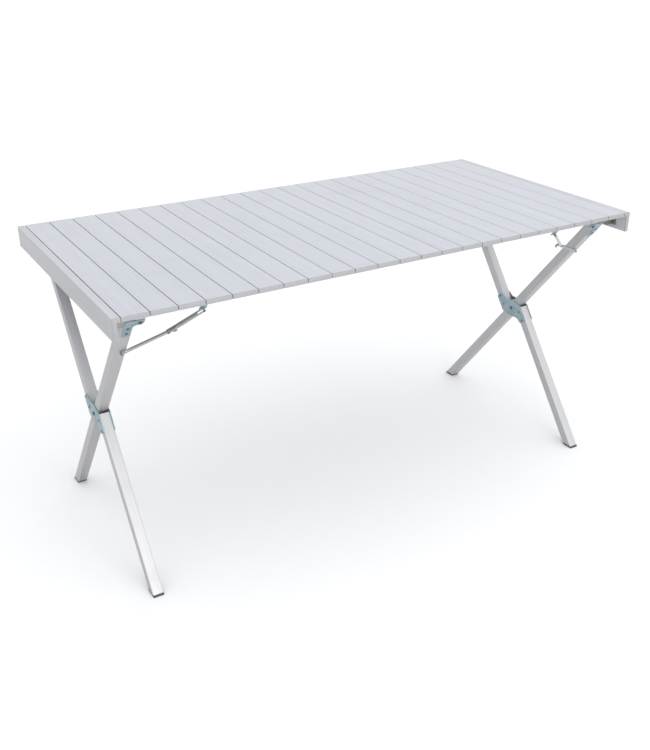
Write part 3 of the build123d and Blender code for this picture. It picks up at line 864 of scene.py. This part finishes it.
def square_tube(place: Matrix, size: Point2, wall: float, span: Point2) -> Workpiece:
    """An open-ended tube with rounded corners, its inner and outer walls not yet joined.

    Args:
        place: frame whose Z runs along the tube.
        size: the tube's outer width and depth.
        wall: its wall.
        span: where it starts and stops along Z.

    Returns:
        Both walls, ready to be cut and closed.
    """
    tube = Workpiece()
    for inset in (0.0, wall):
        skin = Workpiece()
        half_x, half_y = size[0] / 2 - inset, size[1] / 2 - inset
        radius = max(BUILD.tube_radius - inset, 0.3 * MM)
        skin.outline([(i * half_x, j * half_y, radius) for i, j in SQUARE], 4)
        bmesh.ops.delete(skin.bm, geom=skin.bm.faces[:], context="FACES_ONLY")
        made = bmesh.ops.extrude_edge_only(skin.bm, edges=skin.bm.edges[:])["geom"]
        verts = [item for item in made if isinstance(item, bmesh.types.BMVert)]
        bmesh.ops.translate(skin.bm, vec=(0.0, 0.0, span[1] - span[0]), verts=verts)
        skin.move(Matrix.Translation((0.0, 0.0, span[0])))
        tube.absorb(skin)
    tube.move(place)
    return tube


def close_tube(tube: Workpiece, cuts: Sequence[tuple[Vector, Vector]]) -> None:
    """Cuts a tube by planes and joins its walls there.

    Args:
        tube: both walls of the tube.
        cuts: a point and a normal for each end, the normal pointing to what goes.
    """
    for point, normal in cuts:
        tube.cut(point, normal)
    for point, normal in cuts:
        rim = tube.edges_where(
            lambda e: e.is_boundary and max(abs((v.co - point).dot(normal)) for v in e.verts) < NEAR
        )
        bmesh.ops.bridge_loops(tube.bm, edges=rim)
    bmesh.ops.recalc_face_normals(tube.bm, faces=tube.bm.faces[:])
    tube.bevel(tube.sharp_edges(0.9), 0.2 * MM, 1)


@dataclass
class CrossedFrame:
    """Rails, legs and feet of one of the two crossed frames."""

    side: Side
    plug_plate: float = 3.0 * MM
    foot_proud: float = 0.3 * MM
    foot_round: float = 1.4 * MM
    foot_corner: float = 1.5 * MM

    def metal(self) -> AnodisedAluminium:
        """The leg tubes' finish, with its drawn lines along this frame's legs."""
        turn = (self.side.value * BUILD.lean(self.side), 0.0, 0.0)
        name = f"{self.side.name.lower()}_leg_metal"
        return AnodisedAluminium(name, (0.43, 0.43, 0.438), grain=(1.0, 1.0, 0.02), turn=turn)

    def build(self) -> None:
        """Builds the rail, the legs and the feet."""
        self.rail()
        for end in End:
            x = BUILD.leg_x(end)
            if self.side is Side.FRONT:
                low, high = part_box(f"straight_leg_{end.word}")
                width = high.x - low.x
                self.leg(f"straight_leg_{end.word}", x, width, 0.0, None)
            else:
                self.leg(f"split_leg_upper_{end.word}", x, BUILD.leg, BUILD.split_offset, 1)
                self.leg(f"split_leg_lower_{end.word}", x, BUILD.leg, -BUILD.split_offset, -1)
        self.feet()
        if self.side is Side.BACK:
            dress_node("split_leg_plugs", LEG_PLUG)

    def rail(self) -> None:
        """Builds the rail's tube and its end plugs."""
        node = f"{self.side.name.lower()}_rail"
        low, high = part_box(node)
        middle = (low + high) / 2
        place = axes(Vector((0.0, middle.y, middle.z)), Vector((0.0, 1.0, 0.0)), Vector((0.0, 0.0, 1.0)))
        size = (high.y - low.y, high.z - low.z)
        tube = square_tube(place, size, BUILD.tube_wall, (1.1 * low.x, 1.1 * high.x))
        x_axis = Vector((1.0, 0.0, 0.0))
        close_tube(tube, [(low, -x_axis), (high, x_axis)])
        tube.piece(f"{node}_tube", self.side.body, FRAME_METAL, [node])
        plugs = Workpiece()
        for start, stop in ((low.x - self.plug_plate, low.x), (high.x, high.x + self.plug_plate)):
            plug = Workpiece()
            plug.block((start, low.y, low.z), (stop, high.y, high.z))
            along = plug.edges_where(lambda e: abs(e.verts[0].co.x - e.verts[1].co.x) > MM)
            plug.bevel(along, BUILD.tube_radius, 4)
            plug.soften(0.4 * MM)
            plugs.absorb(plug)
        plugs.piece(f"{node}_end_plugs", self.side.body, RAIL_PLUG, [f"{node}_plugs"])

    def leg(self, node: str, x: float, width: float, across: float, half: int | None) -> None:
        """Builds one leg tube or one half of a split leg.

        Args:
            node: the CAD node that it stands for.
            x: where the leg is along the table.
            width: the tube's width along X.
            across: how far it is from the leg's middle line.
            half: 1 for an upper half, -1 for a lower half, None for a whole leg.
        """
        section = BUILD.leg_section(self.side, x, across)
        low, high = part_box(node)
        reach = (high - low).length
        tube = square_tube(section, (width, BUILD.leg), BUILD.tube_wall, (-reach, reach))
        up = Vector((0.0, 0.0, 1.0))
        top, bottom = (high, up), (low, -up)
        beside = BUILD.up_leg(self.side)
        pivot = Vector((x, BUILD.pivot.y, BUILD.pivot.z))
        if half == 1:
            bottom = (pivot + beside * BUILD.split_end, -beside)
        elif half == -1:
            top = (pivot - beside * BUILD.split_end, beside)
        close_tube(tube, [top, bottom])
        tube.piece(f"{node}_tube", self.side.body, self.metal(), [node])

    def feet(self) -> None:
        """Builds the soles of the two foot caps, with rounded edges."""
        node = "back_feet" if self.side is Side.FRONT else "front_feet"
        across = 0.0 if self.side is Side.FRONT else -BUILD.split_offset
        soles = Workpiece()
        for end in End:
            x = BUILD.leg_x(end)
            section = BUILD.leg_section(self.side, x, across)
            half = BUILD.leg / 2 + self.foot_proud
            sole = Workpiece()
            sole.outline([(i * half, j * half, self.foot_corner) for i, j in SQUARE], 4)
            sole.thicken(1.0)
            sole.move(section @ Matrix.Translation((0.0, 0.0, -0.9)))
            for height, way in ((BUILD.sole, 1.0), (0.0, -1.0)):
                edges = sole.cut(Vector((0.0, 0.0, height)), Vector((0.0, 0.0, way)))
                bmesh.ops.contextual_create(sole.bm, geom=edges)
            bmesh.ops.recalc_face_normals(sole.bm, faces=sole.bm.faces[:])
            floor = sole.edges_where(lambda e: max(v.co.z for v in e.verts) < 1e-5)
            sole.bevel(floor, self.foot_round, 3)
            rim = sole.edges_where(lambda e: min(v.co.z for v in e.verts) > BUILD.sole - 1e-5)
            sole.bevel(rim, 0.4 * MM, 2)
            soles.absorb(sole)
        soles.piece(f"{node}_caps", self.side.body, FOOT_RUBBER, [node])


# ---------------------------------------------------------------- hinges, stays and plates


@dataclass
class CornerHardware:
    """Brackets, anchors, folding stays and fasteners of one frame."""

    side: Side
    tongue_width: float = 19.0 * MM
    tongue_length: float = 58.0 * MM
    arm_height: float = 17.0 * MM
    bracket_rivets: Point2 = (27.0 * MM, 46.0 * MM)
    hinge: Point2 = (23.5 * MM, 9.5 * MM)
    leg_pin_drop: float = 126.0 * MM
    knuckle: Point2 = (94.5 * MM, 72.0 * MM)
    rail_pin: Point2 = (160.5 * MM, 7.5 * MM)
    upper_size: Point2 = (8.0 * MM, 7.0 * MM)
    lower_size: Point2 = (5.7 * MM, 5.8 * MM)
    wall: float = 1.0 * MM
    lower_lift: float = 1.15 * MM
    slot: float = 15.0 * MM
    upper_slot_share: float = 1.3  # of the slot, at the knuckle
    tab_length: float = 15.0 * MM
    tab_drop: float = 7.0 * MM
    flange: float = 13.0 * MM
    rivet: Point2 = (3.6 * MM, 1.6 * MM)
    stay_rivet: Point2 = (2.8 * MM, 1.5 * MM)
    stay_pin: float = 1.5 * MM
    hinge_bolt: Corner = (7.4 * MM, 2.4 * MM, 4.6 * MM)
    hinge_nut: Corner = (6.6 * MM, 0.9 * MM, 3.6 * MM)

    def build(self) -> None:
        """Builds the hardware at both ends."""
        word = self.side.name.lower()
        dress_node(f"{word}_rail_anchors", BLUE_ZINC)
        for end in End:
            self.bracket(end)
            self.stay(end)
        self.fasteners()

    def local_end(self, end: End) -> int:
        """The sign of an end in the face frame, whose X runs the other way on the back frame."""
        return -self.side.value * end.value

    def bracket(self, end: End) -> None:
        """Builds one corner bracket: a tongue down the leg and an arm to the hinge bolt."""
        way = self.local_end(end)
        middle = way * abs(BUILD.leg_x(end))
        half = self.tongue_width / 2
        arm_top = self.arm_height / 2 - self.hinge[1]
        arm_low = arm_top - self.arm_height
        arm_end = middle - way * (self.hinge[0] + self.arm_height / 2)
        corners = [
            (arm_end, arm_top, 7.0 * MM),
            (arm_end, arm_low, 7.0 * MM),
            (middle - way * half, arm_low, 9.0 * MM),
            (middle - way * half, -self.tongue_length, 3.0 * MM),
            (middle + way * half, -self.tongue_length, 3.0 * MM),
            (middle + way * half, arm_top, 3.0 * MM),
        ]
        plate = Workpiece()
        plate.outline(corners)
        plate.thicken(BUILD.sheet)
        plate.soften(0.35 * MM)
        plate.move(BUILD.face(self.side))
        node = f"corner_bracket_{self.side.name.lower()}_{end.word}"
        plate.piece(f"{node}_plate", self.side.body, BLUE_ZINC, [node])

    def pins(self, end: End) -> tuple[Point2, Point2, Point2]:
        """The stay's leg pin, knuckle and rail pin in the face frame."""
        way, leg = self.local_end(end), abs(BUILD.leg_x(end))
        return (
            (way * leg, -self.leg_pin_drop),
            (way * (leg - self.knuckle[0]), -self.knuckle[1]),
            (way * (leg - self.rail_pin[0]), -self.rail_pin[1]),
        )

    def link(
        self, start: Point2, finish: Point2, size: Point2, lift: float, slots: Point2, tab: float
    ) -> Workpiece:
        """Builds one channel link with its web on the upper side.

        Args:
            start: first pin in the face frame.
            finish: second pin in the face frame.
            size: the link's width out of the face and its height in the face.
            lift: gap between the leg's face and the link.
            slots: lengths of the web that are cut away at the two ends.
            tab: how far the second end runs on past its pin.

        Returns:
            The link, in place.
        """
        width, height = size
        face = BUILD.face(self.side, lift + width / 2)
        first, second = face @ Vector((*start, 0.0)), face @ Vector((*finish, 0.0))
        along = (second - first).normalized()
        outward = BUILD.outward(self.side)
        web = outward.cross(along)
        if web.z < 0:
            web = -web
        length = (second - first).length
        reach = height / 2
        shell = Workpiece()
        shell.block((-reach, -height / 2, -width / 2), (length + tab + reach, height / 2, width / 2))
        gone = [f for f in shell.bm.faces if f.normal.y < -0.5 or abs(f.normal.x) > 0.5]
        bmesh.ops.delete(shell.bm, geom=gone, context="FACES")
        for x in (slots[0], length + tab - slots[1]):
            shell.cut((x, 0.0, 0.0), (1.0, 0.0, 0.0), keep=True)
        if slots[0]:
            self.open_web(shell, lambda x: x < slots[0])
        if slots[1]:
            self.open_web(shell, lambda x: x > length + tab - slots[1])
        ends = (-reach, length + tab + reach)
        tips = [v for v in shell.bm.verts if min(abs(v.co.x - x) for x in ends) < NEAR]
        free = [v for v in tips if not any(abs(f.normal.y) > 0.5 for f in v.link_faces)]
        shell.bevel(free, height * 0.46, 5, "VERTICES")
        bends = shell.edges_where(lambda e: e.is_manifold and e.calc_face_angle(0.0) > 1.0)
        shell.bevel(bends, 1.0 * MM, 3)
        bmesh.ops.recalc_face_normals(shell.bm, faces=shell.bm.faces[:])
        bmesh.ops.solidify(shell.bm, geom=shell.bm.faces[:], thickness=self.wall)
        if tab:
            shell.absorb(self.thumb_tab(length + tab + reach, height, width))
        shell.move(axes(first, along, web))
        return shell

    def thumb_tab(self, x: float, height: float, width: float) -> Workpiece:
        """Builds the bent tab that the thumb presses, at the far end of the lower link."""
        inner, foot = x - BUILD.sheet, -height / 2 - self.tab_drop
        plate = Workpiece()
        plate.block((inner, foot, -width / 2), (x, height / 2, width / 2))
        plate.block((inner - self.tab_drop, foot, -width / 2), (inner, foot + BUILD.sheet, width / 2))
        plate.soften(0.5 * MM, 3)
        return plate

    @staticmethod
    def open_web(shell: Workpiece, test: Callable[[float], bool]) -> None:
        """Removes the web's faces where a test on their middle's X holds."""
        gone = [f for f in shell.bm.faces if f.normal.y > 0.5 and test(f.calc_center_median().x)]
        bmesh.ops.delete(shell.bm, geom=gone, context="FACES")

    def stay(self, end: End) -> None:
        """Builds the lower and the upper link of one folding stay."""
        leg_pin, knuckle, rail_pin = self.pins(end)
        suffix = f"{self.side.name.lower()}_{end.word}"
        slots = (self.slot, 0.0)
        lower = self.link(leg_pin, knuckle, self.lower_size, self.lower_lift, slots, self.tab_length)
        lower.piece(f"stay_lower_{suffix}_link", self.side.body, STAY_ZINC, [f"stay_lower_{suffix}"])
        slots = (self.upper_slot_share * self.slot, self.slot)
        upper = self.link(knuckle, rail_pin, self.upper_size, 0.0, slots, 0.0)
        yellow = self.side is Side.FRONT and end is End.RIGHT
        finish = STAY_YELLOW if yellow else STAY_ZINC
        upper.piece(f"stay_upper_{suffix}_link", self.side.body, finish, [f"stay_upper_{suffix}"])

    def head_places(self, end: End) -> list[tuple[Point2, float, str]]:
        """Places of the heads at one end, with the height of the surface and the kind of head."""
        way, leg = self.local_end(end), abs(BUILD.leg_x(end))
        leg_pin, knuckle, rail_pin = self.pins(end)
        places = [((way * leg, -drop), BUILD.sheet, "rivet") for drop in self.bracket_rivets]
        places.append(((way * (leg - self.hinge[0]), -self.hinge[1]), BUILD.sheet, "bolt"))
        places.append((leg_pin, self.lower_lift + self.lower_size[0], "pin"))
        places.append((knuckle, self.upper_size[0], "pin"))
        places.append((rail_pin, self.upper_size[0], "pin"))
        return places

    def fasteners(self) -> None:
        """Builds this frame's rivet heads, hinge bolts with nuts and stay pins."""
        heads = Workpiece()
        for end in End:
            for spot, lift, kind in self.head_places(end):
                place = BUILD.face(self.side, lift) @ Matrix.Translation((*spot, 0.0))
                if kind == "rivet":
                    heads.absorb(dome_head(place, *self.rivet))
                elif kind == "pin":
                    heads.absorb(dome_head(place, *self.stay_rivet))
                else:
                    heads.absorb(hex_head(place, *self.hinge_bolt))
                    behind = BUILD.face(self.side, -BUILD.sheet) @ Matrix.Translation((*spot, 0.0))
                    heads.absorb(hex_head(behind @ Matrix.Rotation(pi, 4, "X"), *self.hinge_nut))
            self.anchor_heads(heads, end)
            self.shanks(heads, end)
        node = f"{self.side.name.lower()}_frame_fasteners"
        if self.side is Side.BACK:
            CrossPlates().rivets(heads)
        heads.piece(f"{node}_heads", self.side.body, FASTENER_ZINC, [node])

    def shanks(self, heads: Workpiece, end: End) -> None:
        """Adds the pins that show inside the open channels at the stay's joints."""
        widths = (self.lower_size[0] + self.lower_lift, self.upper_size[0], self.upper_size[0])
        for spot, width in zip(self.pins(end), widths):
            place = BUILD.face(self.side, width / 2) @ Matrix.Translation((*spot, 0.0))
            pin = Workpiece()
            pin.rod(place, self.stay_pin, width, 16)
            heads.absorb(pin)

    def anchor_heads(self, heads: Workpiece, end: End) -> None:
        """Adds the rivet heads that hold the anchors on the rail's outer face."""
        edge = BUILD.rail_edge(self.side)
        leg = abs(BUILD.leg_x(end))
        for inboard in (self.hinge[0], self.rail_pin[0]):
            outward = Vector((0.0, float(self.side.value), 0.0))
            spot = edge + outward * BUILD.sheet
            spot += Vector((end.value * (leg - inboard), 0.0, self.flange / 2))
            along = Vector((0.0, 0.0, 1.0)).cross(outward)
            heads.absorb(dome_head(axes(spot, along, outward.cross(along)), *self.rivet))


@dataclass
class CrossPlates:
    """The plates that join the halves of the split legs, their rivets and the pivot bolts."""

    half_length: float = 55.0 * MM
    margin: float = 2.0 * MM
    rivet_places: Point2 = (22.0 * MM, 49.0 * MM)
    slot_size: Point2 = (8.8 * MM, 4.4 * MM)
    head: Point2 = (3.6 * MM, 1.6 * MM)
    bolt_head: Point2 = (5.5 * MM, 2.6 * MM)
    nut: Corner = (8.6 * MM, 1.9 * MM, 5.4 * MM)
    shank_radius: float = 3.0 * MM

    def corners(self) -> list[Corner]:
        """The outline's corners with their radii, the second half turned from the first."""
        edge = BUILD.split_offset + BUILD.leg / 2 + self.margin
        inner = BUILD.split_offset - BUILD.leg / 2
        half = [
            (self.half_length, -edge, 4.0 * MM),
            (self.half_length, -inner, 6.0 * MM),
            (self.half_length * 0.66, -inner + 5 * MM, 16.0 * MM),
            (inner + 2 * MM, edge / 2, 30.0 * MM),
            (-inner / 2, edge, 12.0 * MM),
        ]
        return half + [(-x, -y, radius) for x, y, radius in half]

    def slots(self) -> list[Corner]:
        """The two holes that show beside the pivot."""
        along, across, radius = 2 * BUILD.split_end, BUILD.split_end, self.slot_size[1] / 2
        return [(along, -across, radius), (-along, across, radius)]

    def build(self) -> None:
        """Builds both plates and the pivot bolt at each end."""
        for end in End:
            plates = Workpiece()
            for face in (-1, 1):
                plate = Workpiece()
                plate.outline(self.corners(), 6)
                plate.pierce(self.slots(), self.slot_size[0] - self.slot_size[1])
                plate.thicken(BUILD.sheet)
                plate.soften(0.35 * MM)
                x = BUILD.leg_x(end) + face * BUILD.leg / 2
                start = x if face == 1 else x - BUILD.sheet
                plate.move(BUILD.cross(start))
                plates.absorb(plate)
            node = f"cross_plates_{end.word}"
            plates.piece(f"{node}_pair", Side.BACK.body, BLUE_ZINC, [node])
        self.pivots()

    def outer_places(self, x: float, y: float, end: End) -> list[Matrix]:
        """Frames on the outside of both plates at a place in the plate, with Z pointing away."""
        half = BUILD.leg / 2 + BUILD.sheet
        right = BUILD.cross(BUILD.leg_x(end) + half) @ Matrix.Translation((x, y, 0.0))
        left = BUILD.cross(BUILD.leg_x(end) - half) @ Matrix.Translation((x, y, 0.0))
        return [right, left @ Matrix.Rotation(pi, 4, "X")]

    def rivets(self, heads: Workpiece) -> None:
        """Adds both heads of every cross rivet."""
        for end in End:
            for along in self.rivet_places:
                for way in (-1, 1):
                    for place in self.outer_places(way * along, -way * BUILD.split_offset, end):
                        heads.absorb(dome_head(place, *self.head))

    def pivots(self) -> None:
        """Builds the pivot bolts: a domed head inboard and a nut outboard."""
        bolts = Workpiece()
        for end in End:
            right, left = self.outer_places(0.0, 0.0, end)
            inboard, outboard = (left, right) if end is End.RIGHT else (right, left)
            bolts.absorb(dome_head(inboard, *self.bolt_head))
            bolts.absorb(hex_head(outboard, *self.nut))
            shank = Workpiece()
            shank.rod(BUILD.cross(BUILD.leg_x(end)), self.shank_radius, BUILD.leg, 20)
            bolts.absorb(shank)
        bolts.piece("pivot_bolt_set", Side.BACK.body, FASTENER_ZINC, ["pivot_bolts"])


# ---------------------------------------------------------------- studio


@dataclass
class Studio:
    """Floor, soft lights and the camera."""

    floor_half: float = 30.0
    camera_place: Corner = (-1.1827, -1.9428, 0.6812)
    yaw: float = radians(30.94)
    pitch: float = radians(26.26)
    focal: float = 44.3
    sky_strength: Point2 = (1.25, 1.6)
    sky_brightest: Corner = (0.25, -0.2, 0.95)

    def build(self) -> None:
        """Sets up the whole studio."""
        self.floor()
        self.world()
        self.light("key_softbox", (0.9, -2.4, 3.4), (0.0, 0.0, 0.4), 2.4, 10.0)
        self.light("front_softbox", (-0.2, -3.6, 1.1), (0.0, 0.0, 0.45), 2.2, 66.0)
        self.camera()

    def floor(self) -> None:
        """Lays a plain pale floor."""
        bm = bmesh.new()
        bmesh.ops.create_grid(bm, x_segments=1, y_segments=1, size=self.floor_half)
        mesh = bpy.data.meshes.new("studio_floor")
        bm.to_mesh(mesh)
        bm.free()
        made = bpy.data.objects.new("studio_floor", mesh)
        bpy.context.scene.collection.objects.link(made)
        made.data.materials.append(MATERIALS(StudioPaper()))

    def world(self) -> None:
        """Lights the room with a soft sky that is brightest nearly overhead."""
        world = bpy.data.worlds.new("soft_room")
        bpy.context.scene.world = world
        world.use_nodes = True
        tree = world.node_tree
        tree.nodes.clear()
        place = tree.nodes.new("ShaderNodeTexCoord").outputs["Generated"]
        dot = tree.nodes.new("ShaderNodeVectorMath")
        dot.operation = "DOT_PRODUCT"
        dot.inputs[1].default_value = Vector(self.sky_brightest).normalized()
        ramp = tree.nodes.new("ShaderNodeMapRange")
        ramp.interpolation_type = "SMOOTHSTEP"
        low, high = self.sky_strength
        for name, value in (("From Min", -0.2), ("From Max", 0.9), ("To Min", low), ("To Max", high)):
            ramp.inputs[name].default_value = value
        lamp = tree.nodes.new("ShaderNodeBackground")
        lamp.inputs["Color"].default_value = (0.985, 0.99, 1.0, 1.0)
        out = tree.nodes.new("ShaderNodeOutputWorld")
        tree.links.new(place, dot.inputs[0])
        tree.links.new(dot.outputs["Value"], ramp.inputs["Value"])
        tree.links.new(ramp.outputs[0], lamp.inputs["Strength"])
        tree.links.new(lamp.outputs[0], out.inputs["Surface"])

    def light(self, name: str, place: Corner, aim: Corner, size: float, power: float) -> None:
        """Adds one large square softbox.

        Args:
            name: the light's name.
            place: where it stands.
            aim: the point that it faces.
            size: its side.
            power: its power in watts.
        """
        lamp = bpy.data.lights.new(name, "AREA")
        lamp.size = size
        lamp.energy = power
        made = bpy.data.objects.new(name, lamp)
        made.location = place
        made.rotation_euler = (Vector(aim) - Vector(place)).to_track_quat("-Z", "Y").to_euler()
        bpy.context.scene.collection.objects.link(made)

    def camera(self) -> None:
        """Puts the camera above and in front of the table's left end."""
        lens = bpy.data.cameras.new("view_camera")
        lens.lens = self.focal
        made = bpy.data.objects.new("view_camera", lens)
        top = CAD_BOX[1].z
        made.location = Vector(self.camera_place) + Vector((0.0, 0.0, top))
        made.rotation_euler = (pi / 2 - self.pitch, 0.0, -self.yaw)
        bpy.context.scene.collection.objects.link(made)
        bpy.context.scene.camera = made


def main() -> None:
    """Builds the studio, the top, both frames and their hardware, in that order."""
    logging.basicConfig(level=logging.INFO, format="%(name)s %(message)s")
    bpy.context.scene.view_settings.view_transform = "Standard"
    Studio().build()
    RollTop().build()
    for side in Side:
        CrossedFrame(side).build()
        CornerHardware(side).build()
    CrossPlates().build()


if __name__ == "__main__":
    main()
